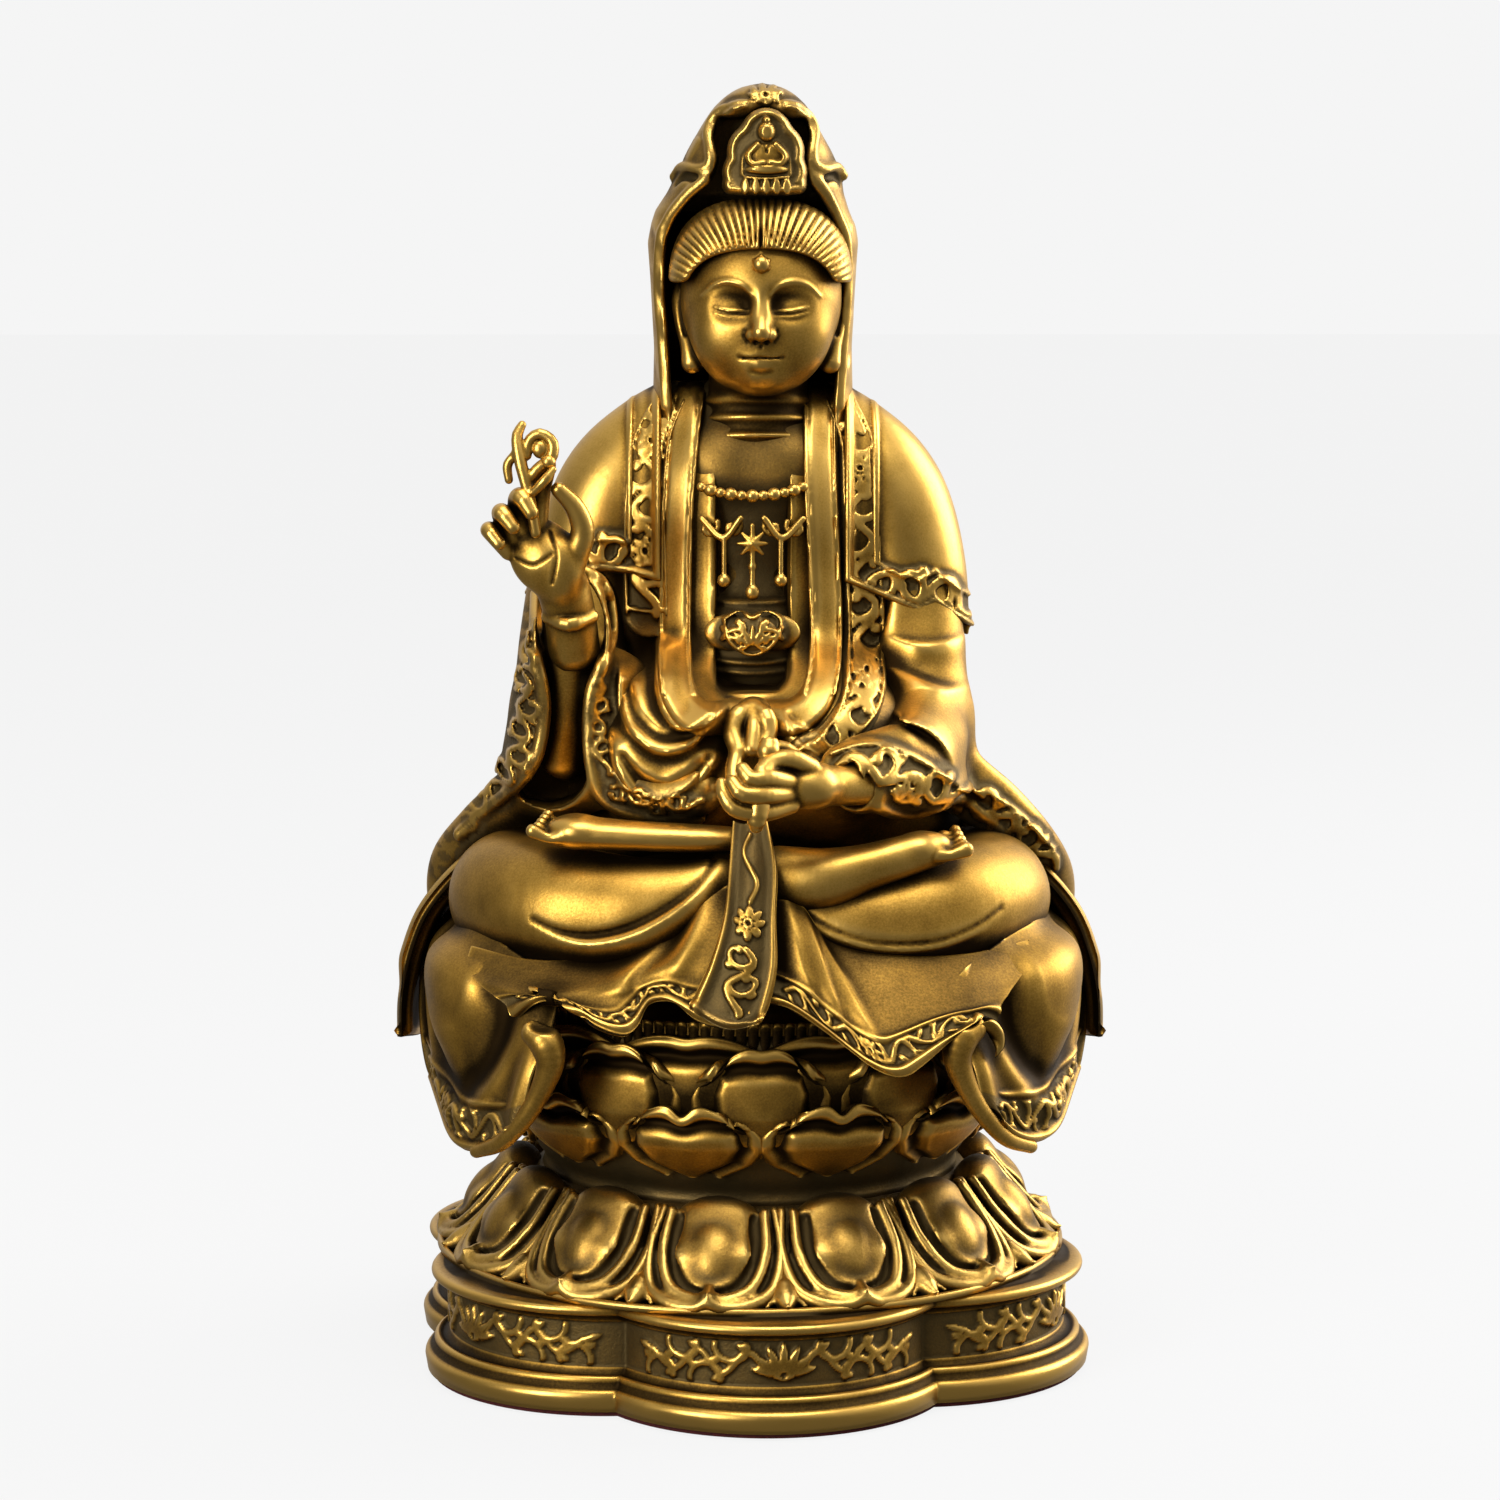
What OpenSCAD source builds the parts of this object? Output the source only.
// Seated devotional statue in cast brass: a draped figure on a lotus throne and a six-lobed plinth.
// The castings stack on one tie rod. Z is up, the figure faces -Y, and the origin is the centre of the base.
// "right" and "left" are the figure's own right (-X) and left (+X).

/* [Plinth] */
// Distance from the axis to the crest of a lobe on the bottom slab
plinth_r = 62; // [58:1:66]
// Number of lobes
lobes = 6; // [5:1:8]
// Thickness of the felt pad under the plinth
felt_t = 0.8; // [0.5:0.1:1.5]
// Thickness of the bottom slab
slab_h = 3.8; // [3:0.1:5]
// Height of the stepped moulding above the slab
step_h = 3; // [2:0.1:4]
// Height of the scrollwork frieze
frieze_h = 7.8; // [6:0.1:10]
// Thickness of the top slab
top_h = 3.4; // [3:0.1:4]
// Turn of the plinth under the throne, as assembled
plinth_turn = 2; // [0:1:10]

/* [Lotus throne] */
// Petals that hang down over the plinth
lower_petal_count = 13; // [9:1:16]
// Petals in each of the two rows that stand up
upper_petal_count = 11; // [8:1:14]
// Height of the down-turned lotus
lower_lotus_h = 14; // [12:1:18]
// Height of the upright lotus bowl above the waist
bowl_h = 28; // [24:1:32]
// Largest radius of the bowl
bowl_r = 43; // [40:1:46]

/* [Fixings] */
// Diameter of the tie rod
rod_d = 6; // [5:0.5:8]
// Diameter of the screws that hold the cover plate
screw_d = 2.5; // [2:0.5:3]
// Wall thickness of the hollow castings
wall = 3; // [2.5:0.5:4]

/* [Hidden] */
$fn = 48;
form_fn = 12;           // facets of the balls that the draped forms are hulled from
petal_fn = 8;           // the same for the petals
trim_fn = 6;            // and for beads, drops and other small trim
brass = "#c8963c";
dark_brass = "#8a6526";
steel = "#b9bbbd";

// Heights of the stack
slab_z = felt_t + slab_h;
frieze_z = slab_z + step_h;
top_z = frieze_z + frieze_h;
deck_z = top_z + top_h;
lip_h = 1.2;            // ring on the deck that the throne stands inside
lower_z = deck_z + lower_lotus_h;
bowl_z = lower_z + 2;
seat_z = bowl_z + bowl_h;
plate_h = 2;
figure_z = seat_z + plate_h;

// Fixings
rod_r = rod_d / 2;
fit = 0.2;              // clearance round the rod and in the spigots
rod_top = figure_z + 40;
nut_h = 5;
washer_h = 1.2;
cover_r = 44;
cover_t = 1.6;
screw_ring_r = 38;
boss_r = 3.6;
deck_t = 3;

// ---------------------------------------------------------------- helpers

module ball(p, r, fn = form_fn) { translate(p) sphere(r = r, $fn = fn); }

module limb(a, ra, b, rb) { hull() { ball(a, ra); ball(b, rb); } }

// Hulls each ball of a path to the next: path is a list of [x, y, z, radius]
module chain(path) {
    for (i = [0 : len(path) - 2])
        limb([for (k = [0 : 2]) path[i][k]], path[i][3], [for (k = [0 : 2]) path[i + 1][k]], path[i + 1][3]);
}

// Hulls all the balls of a list of [x, y, z, radius]
module lump(balls, fn = form_fn) { hull() for (b = balls) ball([b[0], b[1], b[2]], b[3], fn); }

// A form and its mirror image across the figure's middle
module both() { children(); mirror([1, 0, 0]) children(); }

module around(count, start = 0) { for (i = [0 : count - 1]) rotate(start + i * 360 / count) children(); }

// Coordinates above the seat
module on_seat() { translate([0, 0, figure_z]) children(); }

// One faceted casting: keeps a cut form as a single closed mesh
module casting() { resize([0, 0, 0]) children(); }

// ---------------------------------------------------------------- plinth

// Six-lobed outline whose crests are r from the axis
module foil(r) {
    lobe_r = 0.51 * r;
    around(lobes, -90) translate([r - lobe_r, 0]) circle(r = lobe_r);
    circle(r = 0.78 * r);
}

module tier(z, h, r) { translate([0, 0, z]) linear_extrude(h) foil(r); }

module screw_places() { around(4, 45) translate([screw_ring_r, 0, 0]) children(); }

module felt_pad() {
    color("#7a2020") rotate(plinth_turn) difference() {
        linear_extrude(felt_t) foil(plinth_r - 1.2);
        screw_places() translate([0, 0, -1]) cylinder(h = felt_t + 2, r = screw_d);
    }
}

module cover_plate() {
    color(brass) rotate(plinth_turn) difference() {
        translate([0, 0, felt_t]) cylinder(h = cover_t, r = cover_r - fit);
        screw_places() {
            translate([0, 0, felt_t - 1]) cylinder(h = cover_t + 2, r = screw_d / 2 + fit);
            translate([0, 0, felt_t]) cylinder(h = 1.2, r1 = screw_d, r2 = screw_d / 2 + fit);
        }
    }
}

module cover_screws() {
    color(steel) rotate(plinth_turn) screw_places() difference() {
        union() {
            translate([0, 0, felt_t]) cylinder(h = 1.2, r1 = screw_d - 0.1, r2 = screw_d / 2);
            translate([0, 0, felt_t + 1]) cylinder(h = 8, r = screw_d / 2);
        }
        translate([-screw_d, -0.3, felt_t - 0.1]) cube([2 * screw_d, 0.6, 0.7]);
    }
}

module plinth() {
    roof_z = deck_z - deck_t;
    color(brass) rotate(plinth_turn) difference() {
        union() {
            tier(felt_t, slab_h, plinth_r);
            tier(slab_z, step_h / 2, plinth_r - 2);
            tier(slab_z + step_h / 2, step_h / 2, plinth_r - 3);
            tier(frieze_z, frieze_h, plinth_r - 4.6);
            tier(top_z, top_h, plinth_r - 1.6);
            translate([0, 0, deck_z]) difference() {
                cylinder(h = lip_h, r = plinth_r - 6.4);
                translate([0, 0, -1]) cylinder(h = lip_h + 2, r = plinth_r - 7.6);
            }
        }
        translate([0, 0, felt_t - 1]) cylinder(h = cover_t + 1, r = cover_r);
        translate([0, 0, felt_t]) cylinder(h = roof_z - felt_t, r = cover_r - 2);
        translate([0, 0, roof_z - 1]) cylinder(h = deck_t + 2, r = rod_r + fit);
    }
    color(brass) rotate(plinth_turn) screw_places() difference() {
        translate([0, 0, felt_t + cover_t]) cylinder(h = roof_z - felt_t - cover_t + 0.5, r = boss_r);
        translate([0, 0, felt_t]) cylinder(h = 10, r = screw_d / 2);
    }
}

// ---------------------------------------------------------------- lotus throne

lower_foot_r = 47;      // the down-turned lotus where it stands on the deck
waist_r = 37;
bowl_foot_r = 33;

module lower_lotus() {
    color(dark_brass) rotate_extrude() polygon([
        [rod_r + fit, lower_z - wall], [waist_r - 7, lower_z - wall], [lower_foot_r - 7, deck_z],
        [lower_foot_r, deck_z], [lower_foot_r, deck_z + 1.5], [waist_r + 1, lower_z - 2], [waist_r, lower_z],
        [rod_r + fit, lower_z]]);
}

// One petal that lies on the cone and lifts its tip off the deck
module lower_petal() {
    half = PI * lower_foot_r / lower_petal_count - 0.6;
    lump([[0, -waist_r - 1, lower_z - 2.6, 1.8], [-half + 1.6, -lower_foot_r - 1, deck_z + 5, 1.6],
        [half - 1.6, -lower_foot_r - 1, deck_z + 5, 1.6], [0, -lower_foot_r - 4.6, deck_z + 2.4, 2],
        [0, -lower_foot_r - 0.5, deck_z + 7.6, 4]], petal_fn);
}

module lower_petals() {
    color(brass) casting() difference() {
        around(lower_petal_count, 180 / lower_petal_count) lower_petal();
        rotate_extrude($fn = 60) polygon([[0, deck_z - 3], [lower_foot_r + 8, deck_z - 3],
            [lower_foot_r + 8, deck_z], [lower_foot_r + 0.2, deck_z], [lower_foot_r + 0.2, deck_z + 1.5],
            [waist_r + 1.3, lower_z - 2], [waist_r + 0.3, lower_z + 3], [0, lower_z + 3]]);
    }
}

module lotus_bowl() {
    inner = wall;
    color(dark_brass) rotate_extrude() polygon([
        [rod_r + fit, lower_z], [waist_r, lower_z], [waist_r + 1, bowl_z], [bowl_r - 3, bowl_z + 7],
        [bowl_r, bowl_z + 15], [bowl_r - 1, seat_z - 1.5], [bowl_r - 2, seat_z], [bowl_r - 2 - inner, seat_z],
        [bowl_r - inner, bowl_z + 15], [bowl_r - 3 - inner, bowl_z + 8], [waist_r - 3, bowl_z + wall],
        [rod_r + fit, bowl_z + wall]]);
}

bowl_clear = 0.15;      // gap between the rows of petals and the bowl

module bowl_skin(r) {
    rotate_extrude($fn = 60) polygon([[0, bowl_z - 6], [waist_r + r, bowl_z - 6], [waist_r + 1 + r, bowl_z],
        [bowl_r - 3 + r, bowl_z + 7], [bowl_r + r, bowl_z + 15], [bowl_r - 1 + r, seat_z - 1.5],
        [bowl_r - 2 + r, seat_z + 4], [0, seat_z + 4]]);
}

// One tall petal, a bulging cup with a blunt tip
module inner_petal(grow = 0) {
    lump([[0, -waist_r - 3, bowl_z + 4, 2 + grow], [-8, -bowl_r + 1, bowl_z + 13, 2.4 + grow],
        [8, -bowl_r + 1, bowl_z + 13, 2.4 + grow], [0, -bowl_r + 1, bowl_z + 13, 4.6 + grow],
        [-4.4, -bowl_r + 0.5, bowl_z + 20.6, 2 + grow], [4.4, -bowl_r + 0.5, bowl_z + 20.6, 2 + grow]], petal_fn);
}

// One low petal of the outer row
module outer_petal() {
    lump([[-4, -waist_r - 2, bowl_z + 2.4, 2], [4, -waist_r - 2, bowl_z + 2.4, 2],
        [-9.6, -bowl_r - 0.4, bowl_z + 7, 1.8], [9.6, -bowl_r - 0.4, bowl_z + 7, 1.8],
        [-4, -bowl_r - 1.8, bowl_z + 11, 1.4], [4, -bowl_r - 1.8, bowl_z + 11, 1.4],
        [0, -bowl_r + 1, bowl_z + 6.6, 3.6]], petal_fn);
}

module inner_petals() {
    color(brass) casting() difference() {
        around(upper_petal_count) inner_petal();
        bowl_skin(bowl_clear);
        around(upper_petal_count, 180 / upper_petal_count) outer_petal();
    }
}

module outer_petals() {
    color(brass) casting() difference() {
        around(upper_petal_count, 180 / upper_petal_count) outer_petal();
        bowl_skin(bowl_clear);
    }
}

stamen_r = bowl_r - 1.2;

module stamen_ring() {
    color(dark_brass) difference() {
        translate([0, 0, seat_z - 5]) cylinder(h = 4.8, r = stamen_r + 1.8);
        translate([0, 0, seat_z - 6]) cylinder(h = 7, r = stamen_r + 0.2);
    }
}

module seat_plate() {
    color(dark_brass) difference() {
        union() {
            translate([0, 0, seat_z]) cylinder(h = plate_h, r = bowl_r - 1);
            translate([0, 0, seat_z - 3]) cylinder(h = 3, r = bowl_r - wall - 3);
        }
        translate([0, 0, seat_z - 4]) cylinder(h = plate_h + 6, r = rod_r + fit);
    }
}

// ---------------------------------------------------------------- tie rod

module tie_rod() {
    color(steel) translate([0, 0, deck_z - deck_t - nut_h - washer_h - 2])
        cylinder(h = rod_top - (deck_z - deck_t - nut_h - washer_h - 2), r = rod_r);
}

module tie_washer() {
    color(steel) translate([0, 0, deck_z - deck_t - washer_h]) difference() {
        cylinder(h = washer_h, r = 2.6 * rod_r);
        translate([0, 0, -1]) cylinder(h = washer_h + 2, r = rod_r + fit);
    }
}

module tie_nut() {
    color(steel) translate([0, 0, deck_z - deck_t - washer_h - nut_h]) difference() {
        cylinder(h = nut_h, r = 1.9 * rod_r, $fn = 6);
        translate([0, 0, -1]) cylinder(h = nut_h + 2, r = rod_r + 0.02);
    }
}

// ---------------------------------------------------------------- figure, lower body

// Lap: two folded legs that meet in front of the belly
module legs_form() {
    both() chain([[15, 10, 14, 13.8], [40.5, -15, 16, 11.4], [28, -29, 15, 10], [9, -32, 11, 8.6]]);
    lump([[-12, -14, 13, 12], [12, -14, 13, 12], [-12, 12, 14, 13.8], [12, 12, 14, 13.8]]);
}

module seat_cut() { translate([0, 0, -60]) cube([300, 300, 120], center = true); }

module rod_socket() { translate([0, 0, -1]) cylinder(h = rod_top - figure_z + 1.2, r = rod_r + fit, $fn = 24); }

module legs() {
    color(brass) on_seat() casting() difference() {
        legs_form();
        seat_cut();
        rod_socket();
        lump([[-9, -10, 42, 9], [9, -10, 42, 9], [-9, 8, 42, 10], [9, 8, 42, 10]]);
    }
}

right_foot_path = [[-6, -33, 26.5, 2.6], [-20, -34, 28, 3], [-30, -32, 28.2, 3.3], [-38, -29, 28.6, 2.4]];
left_foot_path = [[9, -36, 21, 4.6], [20, -37, 24.5, 3.8], [31, -34, 27, 3.4], [37, -31, 28, 2.6]];

module foot(path) {
    color(brass) on_seat() casting() difference() {
        chain(path);
        legs_form();
        sash_form();
    }
}

// Cloth that hangs over the front of the throne: a strip with a rounded lower edge
module apron_form() {
    for (s = [-1, 1])
        lump([[s * 3, -43.5, 4, 1.2], [s * 30, -38.5, 4, 1.2], [s * 31, -43, -3, 1.2], [s * 20, -48.2, -5, 1.2],
            [s * 6, -49.5, 0, 1.2]]);
}

module front_apron() {
    color(brass) on_seat() casting() difference() {
        apron_form();
        legs_form();
        sash_form();
        translate([0, 0, -figure_z]) {
            cylinder(h = seat_z + plate_h, r = bowl_r + 0.9);
            around(upper_petal_count) inner_petal(0.2);
        }
    }
}

// Side cloth: falls from under a knee, outside the throne, to a rounded hem
module skirt_fall_form() {
    lump([[54, -12, 6, 2], [57, -6, -6, 2], [51, -26, -22, 1.6], [46, -29, -23, 1.6], [33, -38, -4, 2],
        [30, -39, 2, 2]]);
    lump([[54, -12, 6, 2], [57, -4, -6, 2], [56, 4, -10, 1.6], [53, 6, 4, 2]]);
}

module skirt_fall() {
    color(brass) on_seat() casting() difference() {
        skirt_fall_form();
        legs_form();
        apron_form();
        translate([0, 0, -figure_z]) {
            cylinder(h = seat_z + plate_h, r = bowl_r + 3.4);
            around(upper_petal_count) inner_petal(0.2);
            around(upper_petal_count, 180 / upper_petal_count) outer_petal();
        }
    }
}

// Rear cloth: wraps the back of the seat and trails down both sides
module back_skirt_form() {
    lump([[-50, 8, 12, 3], [50, 8, 12, 3], [-34, 34, 4, 3], [34, 34, 4, 3], [-24, 24, 40, 3], [24, 24, 40, 3]]);
    both() lump([[50, 12, 8, 3], [58, 8, -10, 1.6], [56, 10, -15, 1.6], [46, 30, -6, 2], [36, 38, 0, 3]]);
    lump([[-38, 36, 2, 3], [38, 36, 2, 3], [-28, 44, -14, 1.8], [28, 44, -14, 1.8]]);
}

module back_skirt() {
    color(brass) on_seat() casting() difference() {
        back_skirt_form();
        legs_form();
        both() skirt_fall_form();
        lump([[-24, -6, 60, 8], [24, -6, 60, 8], [-24, 4, 14, 14], [24, 4, 14, 14], [-22, 8, 60, 14], [22, 8, 60, 14]]);
        translate([0, 0, -figure_z]) cylinder(h = seat_z + plate_h, r = bowl_r + 3.4);
    }
}

// Ribbon down the middle of the lap
module sash_form() {
    lump([[-4, -30, 34, 1.4], [4, -30, 34, 1.4], [-4, -42.5, 20, 1.4], [4.5, -42.5, 20, 1.4]]);
    lump([[-4, -42.5, 20, 1.4], [4.5, -42.5, 20, 1.4], [-5.5, -50.2, 3, 1.2], [5, -50.2, 3, 1.2]]);
}

module sash() {
    color(brass) on_seat() casting() difference() {
        sash_form();
        legs_form();
        translate([0, 0, -figure_z]) cylinder(h = seat_z + plate_h, r = bowl_r + 0.9);
    }
}

// ---------------------------------------------------------------- figure, upper body

module torso_form() {
    lump([[-7, -5.6, 56, 10], [7, -5.6, 56, 10], [-8, -4, 84, 10], [8, -4, 84, 10], [-12, 8, 84, 9], [12, 8, 84, 9],
        [-12, 8, 42, 10], [12, 8, 42, 10], [-6, -9, 48, 11], [6, -9, 48, 11], [-9, -6, 38, 9], [9, -6, 38, 9]]);
}

module torso() {
    color(dark_brass) on_seat() casting() difference() {
        torso_form();
        rod_socket();
        legs_seat();
        head_form();
    }
}

module legs_seat() {
    difference() {
        legs_form();
        lump([[-9, -10, 42, 9], [9, -10, 42, 9], [-9, 8, 42, 10], [9, 8, 42, 10]]);
    }
}

module clasp_form() {
    translate([0, -16.6, 62]) rotate([-88, 0, 0]) linear_extrude(3.4, center = true)
        polygon([[-10, -3.5], [10, -3.5], [10, 3.2], [6, 4.4], [0, 6], [-6, 4.4], [-10, 3.2]]);
}

module belt_clasp() {
    color(brass) on_seat() casting() difference() {
        clasp_form();
        torso_form();
    }
}

// Outer robe: shoulders, back and the folds that cross the lap
module robe_form() {
    lump([[-20, 5, 82, 9], [20, 5, 82, 9], [-8, 4, 91, 7], [8, 4, 91, 7], [-24, 10, 60, 11], [24, 10, 60, 11]]);
    lump([[-24, 8, 60, 11], [24, 8, 60, 11], [-24, 6, 20, 14], [24, 6, 20, 14], [-16, -12, 30, 10],
        [16, -12, 30, 10], [-15, -9, 56, 9], [15, -9, 56, 9]]);
}

// Opening down the chest, round at the bottom
module robe_opening() {
    lump([[-5.4, -34, 58, 6], [5.4, -34, 58, 6], [-6, -34, 104, 6], [6, -34, 104, 6], [-5.4, -4, 58, 6],
        [5.4, -4, 58, 6], [-6, 0, 104, 6], [6, 0, 104, 6]]);
}

module robe() {
    color(brass) on_seat() casting() difference() {
        robe_form();
        robe_opening();
        torso_form();
        legs_form();
        rod_socket();
        head_form();
        lapel_form(1);
        lapel_form(-1);
        collar_form();
        cape_form();
        knot_form();
        sash_form();
    }
}

// Rolled edge of the opening, a U from shoulder to shoulder
module collar_form() {
    foot = [for (t = [0 : 30 : 180]) [-12.6 * cos(t), -20.5 - 2 * sin(t), 62 - 9 * sin(t), 2]];
    chain([[-12.4, -3, 97, 2], [-12.6, -13, 86, 2], [-12.6, -17, 74, 2], foot[0]]);
    chain([[12.4, -3, 97, 2], [12.6, -13, 86, 2], [12.6, -17, 74, 2], foot[6]]);
    chain(foot);
}

module collar_band() {
    color(brass) on_seat() casting() difference() {
        collar_form();
        torso_form();
        head_form();
        clasp_form();
        knot_form();
    }
}

// Loop of cloth where the robe is tied over the lap
module knot_form() {
    lump([[0, -27, 52, 2.6], [1.6, -29, 48, 3], [-2, -30, 43, 2.8], [0, -24, 46, 4]]);
}

module waist_knot() {
    color(brass) on_seat() casting() difference() {
        knot_form();
        torso_form();
        hand_form(left_hand_path, left_palm);
        vase_form();
        sash_form();
    }
}

// Short cape over both upper arms, with a point at each elbow
module cape_form() {
    both() {
        lump([[17, 0, 91, 7], [24, 5, 84, 9.4], [29, 3, 72, 7.6], [27, -8, 72, 5], [20, -9, 80, 6], [20, 12, 82, 8]]);
        lump([[31, 3, 72, 5], [29, -6, 70, 4], [39.6, 8, 62.4, 1.2], [33, -6, 64, 2], [30, 12, 66, 4]]);
    }
}

module shoulder_cape() {
    color(brass) on_seat() casting() difference() {
        cape_form();
        torso_form();
        lapel_form(1);
        lapel_form(-1);
        collar_form();
    }
}

// Embroidered band that runs from the neck down one side of the chest
module lapel_form(side) {
    foot_z = side < 0 ? 63 : 54;
    for (path = [[[17, -5, 97], [19, -11, 84]], [[19, -11, 84], [19.5, -14, 70]], [[19.5, -14, 70], [19, -18, foot_z]]])
        hull() for (p = path) for (w = [-3, 3]) ball([side * (p[0] + w), p[1] + abs(w) * 0.3, p[2]], 1.6);
}

module lapel(side) {
    color(brass) on_seat() casting() difference() {
        lapel_form(side);
        torso_form();
        collar_form();
        head_form();
    }
}

// Hanging sleeve of the raised arm
module right_sleeve_form() {
    lump([[-30, -1, 74, 7], [-35, -6, 54, 6], [-31, -26, 60, 5], [-27, -24, 62, 5]]);
    lump([[-35, -6, 54, 5], [-33, -27, 62, 3.6], [-26, -27, 62, 3.6], [-37, -22, 40, 2.6], [-20, -34, 36, 2.6],
        [-40, -10, 34, 3], [-36, -20, 30, 2.4]]);
    lump([[-20, -34, 36, 2.6], [-8, -36, 33.4, 1.8], [-24, -26, 50, 3], [-26, -20, 34, 2.4]]);
    lump([[-40, -10, 34, 3], [-36, -20, 30, 2.4], [-48, -6, 24, 2.4], [-54, 6, 12, 2.4]]);
    lump([[-48, -6, 24, 2.4], [-54, 6, 12, 2.4], [-61, 2, -6, 1.6], [-59, 8, -13, 1.2]]);
}

module right_sleeve() {
    color(brass) on_seat() casting() difference() {
        right_sleeve_form();
        robe_form();
        cape_form();
        legs_form();
        lapel_form(-1);
        hand_form(right_hand_path, right_palm);
        chain(right_foot_path);
        skirt_fall_clear();
    }
}

module skirt_fall_clear() {
    both() skirt_fall_form();
    back_skirt_form();
}

// Sleeve of the arm that rests on the lap
module left_sleeve_form() {
    lump([[30, 0, 74, 7], [36, -4, 50, 8], [33, -8, 44, 8]]);
    lump([[36, -4, 50, 8], [34, -20, 42, 7], [22, -38, 40, 5], [26, -36, 36, 4]]);
    lump([[34, -20, 40, 5], [24, -40, 36, 2.4], [31, -40, 31, 1.8], [44, -24, 31, 2.4], [42, -8, 36, 4]]);
    lump([[44, -24, 31, 2.4], [42, -8, 34, 4], [52, -4, 22, 2.4], [54, 6, 12, 2.4]]);
    lump([[52, -4, 22, 2.4], [54, 6, 12, 2.4], [60, 3, -4, 1.6], [58, 8, -10, 1.2]]);
}

module left_sleeve() {
    color(brass) on_seat() casting() difference() {
        left_sleeve_form();
        robe_form();
        cape_form();
        legs_form();
        lapel_form(1);
        hand_form(left_hand_path, left_palm);
        chain(left_foot_path);
        skirt_fall_clear();
    }
}

// ---------------------------------------------------------------- hands and what they hold

// Raised hand: wrist, back of the hand, then the folded fingers
right_hand_path = [[-29, -26, 56, 3.8], [-31, -29, 66, 4.2]];
right_palm = [[-31, -29, 68, 4.4], [-34, -30, 76, 4], [-41, -31, 78, 2.8], [-40, -32, 83, 2.6], [-33, -31, 82, 3]];
left_hand_path = [[24, -40, 38, 4], [14, -47, 40, 4.2]];
left_palm = [[14, -47, 40, 4.2], [7, -51, 41, 3.2], [0, -53, 40, 3.2], [-3, -53, 37.6, 2], [8, -50, 36.6, 2.2]];

module hand_form(path, palm) {
    chain(path);
    lump(palm);
}

module pin_form() {
    translate([-30.5, -27.5, 52]) rotate([-4, -8, 0]) cylinder(h = 16, r = 1.5);
    translate([12, -47.5, 39.6]) rotate([0, 84, 36]) cylinder(h = 18, r = 1.5);
}

module right_hand() {
    color(brass) on_seat() casting() difference() {
        hand_form(right_hand_path, right_palm);
        sprig_form();
        pin_form();
    }
}

module left_hand() {
    color(brass) on_seat() casting() difference() {
        hand_form(left_hand_path, left_palm);
        vase_form();
        pin_form();
        legs_form();
        sash_form();
    }
}

module hand_pins() { color(steel) on_seat() pin_form(); }

// Budding sprig pinched between finger and thumb
module sprig_form() {
    chain([[-33, -31, 76, 1.3], [-34, -32.5, 86, 1.4], [-33.2, -32.8, 90, 2.6], [-34, -32.4, 95, 1.4]]);
}

module lotus_sprig() { color(brass) on_seat() casting() sprig_form(); }

vase_foot = [3.6, -49.5, 45.4];
vase_tilt = [-24, 4, 0];

module vase_form() {
    translate(vase_foot) rotate(vase_tilt) translate([0, 0, -11]) {
        cylinder(h = 5, r = 1.6);
        translate([0, 0, 5]) cylinder(h = 8, r = 2.5);
        translate([0, 0, 13]) sphere(r = 2.5);
        sphere(r = 1.6);
    }
}

module nectar_vase() { color(brass) on_seat() vase_form(); }

// ---------------------------------------------------------------- head

module neck_form() { translate([0, -3, 82]) cylinder(h = 24, r1 = 11.4, r2 = 10, $fn = 32); }

module skull_form() {
    lump([[0, -11.4, 108.4, 5.2], [-6, -8, 112.6, 7], [6, -8, 112.6, 7], [-5, -6.6, 126, 9], [5, -6.6, 126, 9],
        [0, 2, 126, 11], [0, 1, 112, 9]]);
}

module head_form() {
    neck_form();
    skull_form();
}

module head() {
    color(brass) on_seat() casting() difference() {
        union() {
            head_form();
            both() lump([[14.2, -3, 119, 1.3], [14.6, -3, 114, 1.4], [14.2, -3.6, 105, 1.2]]);
        }
        hair_form();
    }
}

module hair_form() {
    both() chain([[0.4, -15.4, 130.6, 4.2], [8, -13.6, 130, 4.4], [13, -8, 126.6, 3.6], [13.4, -2, 120, 2.6]]);
    lump([[-6, -5, 131, 8.4], [6, -5, 131, 8.4], [0, 0, 130, 10]]);
    lump([[0, -3, 136, 7.4], [0, -2, 144, 6.6]]);
}

module hair() {
    color(dark_brass) on_seat() casting() hair_form();
}

module hood_shell(grow) {
    lump([[0, 1, 145.4, 8 + grow], [-5.5, 3, 132, 11.6 + grow], [5.5, 3, 132, 11.6 + grow],
        [-5.5, 5, 118, 11.6 + grow], [5.5, 5, 118, 11.6 + grow]]);
    lump([[-5.5, 5, 122, 11.6 + grow], [5.5, 5, 122, 11.6 + grow], [-8, 8, 96, 8.4 + grow], [8, 8, 96, 8.4 + grow],
        [-12, 13, 88, 7 + grow], [12, 13, 88, 7 + grow]]);
}

module hood() {
    color(brass) on_seat() casting() difference() {
        hood_shell(1.4);
        hood_shell(-0.6);
        lump([[-8, -26, 140, 3], [8, -26, 140, 3], [-12.4, -24, 98, 3], [12.4, -24, 98, 3],
            [-7, -6, 142, 3], [7, -6, 142, 3], [-12.4, -5, 100, 3], [12.4, -5, 100, 3]]);
        robe_form();
        cape_form();
        collar_form();
        head_form();
        hair_form();
        crown_form();
    }
}

// Plaque on the front of the topknot, with a small seated figure in it
module crown_form() {
    translate([0, -10.6, 143.4]) rotate([86, 0, 0]) linear_extrude(2.6, center = true) hull() {
        translate([0, 4]) circle(r = 4.4);
        translate([0, -1.6]) circle(r = 7);
        translate([-6, -7.4]) square([12, 1]);
    }
}

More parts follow.
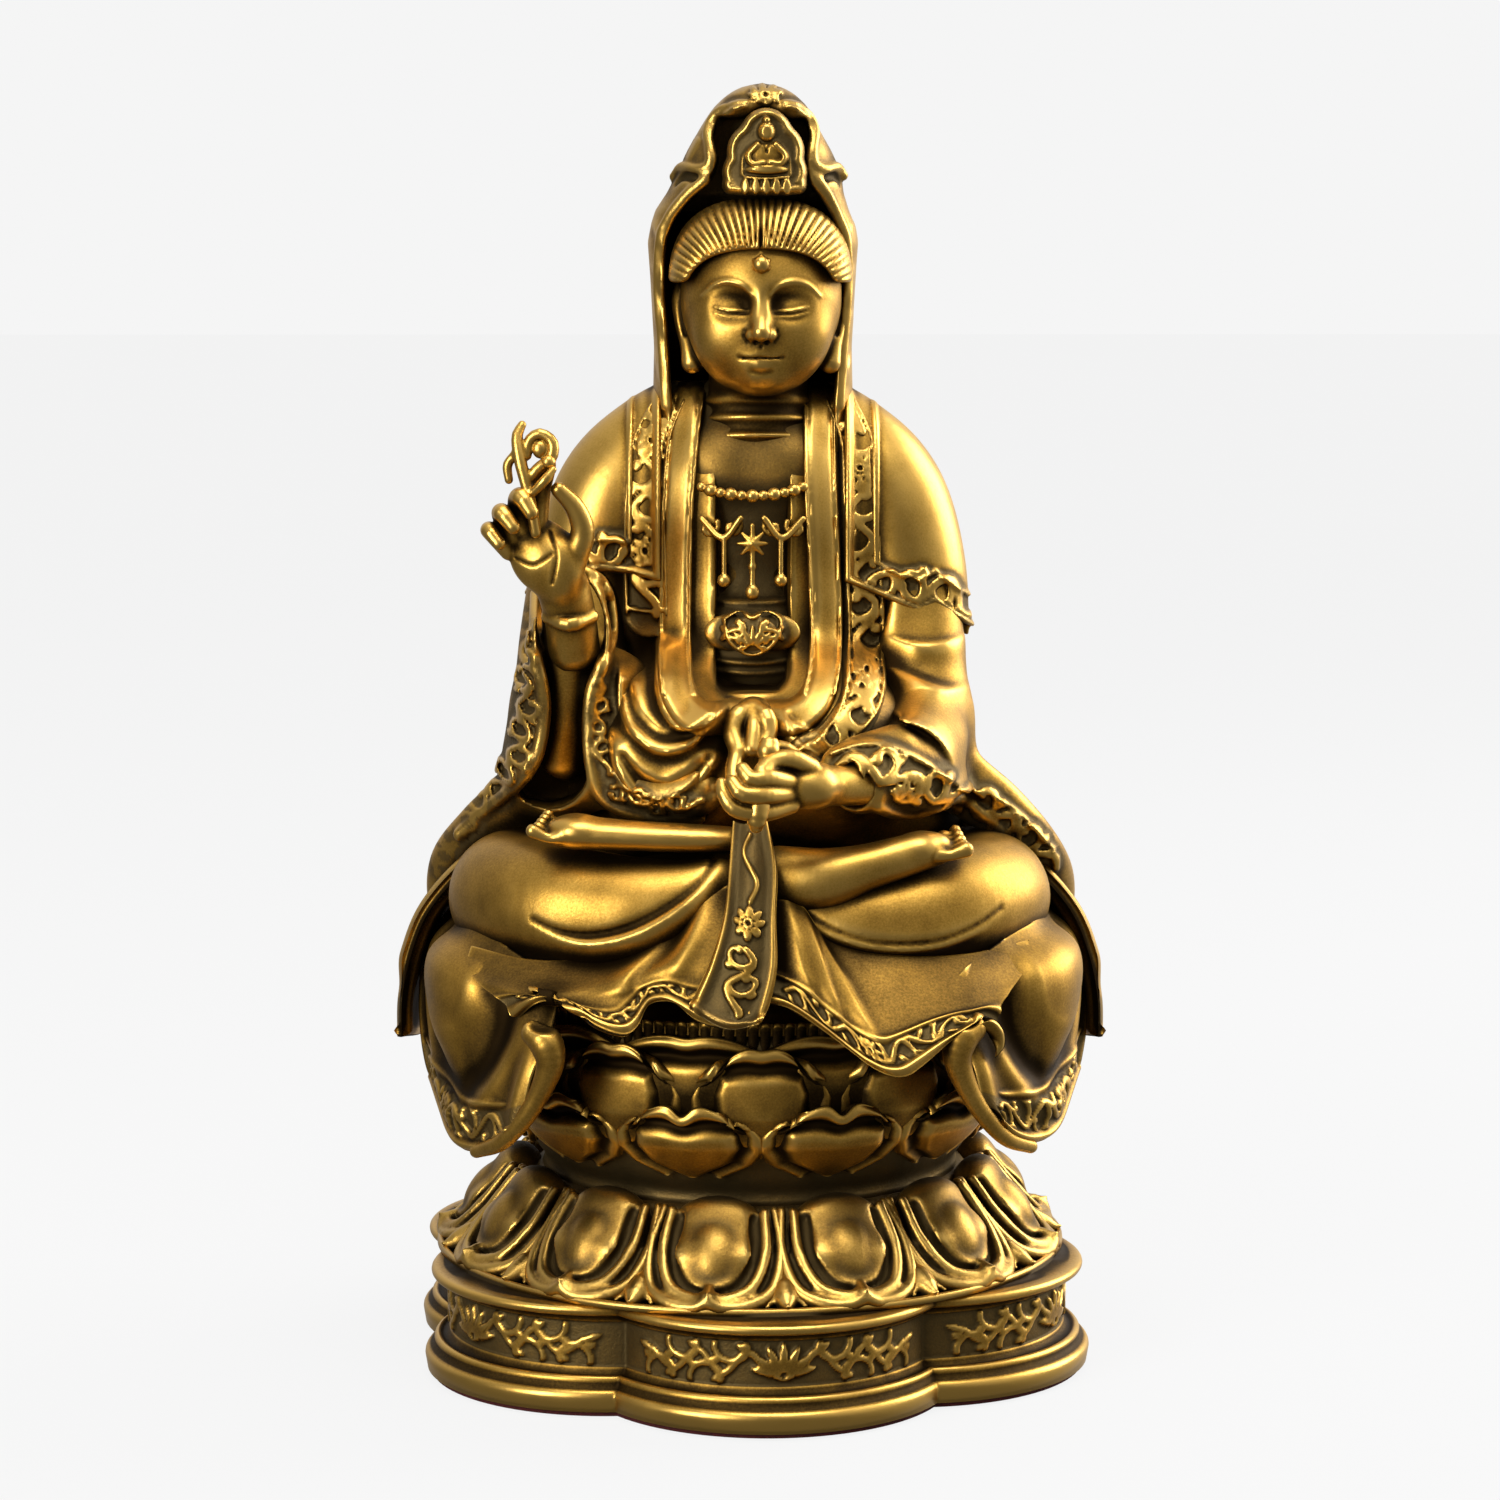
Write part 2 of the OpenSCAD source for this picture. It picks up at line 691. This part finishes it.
module crown() {
    color(brass) on_seat() casting() difference() {
        union() {
            crown_form();
            lump([[0, -12.6, 146.6, 1.5], [0, -12.8, 143, 1.9], [-3, -13, 140, 1.4], [3, -13, 140, 1.4]]);
        }
        hair_form();
    }
}

module forehead_jewel() {
    color(brass) on_seat() casting() difference() {
        ball([0, -16.6, 124.4], 1.3, trim_fn);
        skull_form();
        hair_form();
    }
}

// ---------------------------------------------------------------- ornaments on the chest

bead_r = 1.15;

module necklace() {
    color(brass) on_seat() casting() difference() {
        for (i = [-3 : 3]) ball([2.9 * i, -14.6 + 0.12 * i * i, 86.6 + 0.1 * i * i], bead_r, trim_fn);
        torso_form();
        head_form();
    }
}

// Three drops on short chains, hung from a leaf
module pendants_form() {
    for (x = [-5, 0, 5]) {
        drop_z = x == 0 ? 69.5 : 71.5;
        hull() {
            ball([x, -15.2, 80], 0.6, trim_fn);
            ball([x, -16.6, drop_z + 1], 0.6, trim_fn);
        }
        ball([x, -16.9, drop_z], 1.2, trim_fn);
    }
    lump([[-3.4, -15, 80.6, 0.9], [3.4, -15, 80.6, 0.9], [0, -15.8, 76.6, 1]], trim_fn);
    both() lump([[4, -14.8, 81.6, 0.8], [9, -14, 82, 0.8], [6, -15.2, 79, 0.9]], trim_fn);
}

module pendants() {
    color(brass) on_seat() casting() difference() {
        pendants_form();
        torso_form();
    }
}

felt_pad();
cover_plate();
cover_screws();
plinth();
lower_lotus();
lower_petals();
lotus_bowl();
inner_petals();
outer_petals();
stamen_ring();
seat_plate();
tie_rod();
tie_nut();
tie_washer();
legs();
foot(right_foot_path);  // right_foot
foot(left_foot_path);  // left_foot
front_apron();
mirror([1, 0, 0]) skirt_fall();  // right_skirt_fall
skirt_fall();  // left_skirt_fall
back_skirt();
sash();
torso();
belt_clasp();
robe();
collar_band();
waist_knot();
lapel(-1);  // right_lapel
lapel(1);  // left_lapel
shoulder_cape();
right_sleeve();
left_sleeve();
right_hand();
left_hand();
lotus_sprig();
nectar_vase();
hand_pins();
head();
hair();
hood();
crown();
forehead_jewel();
necklace();
pendants();
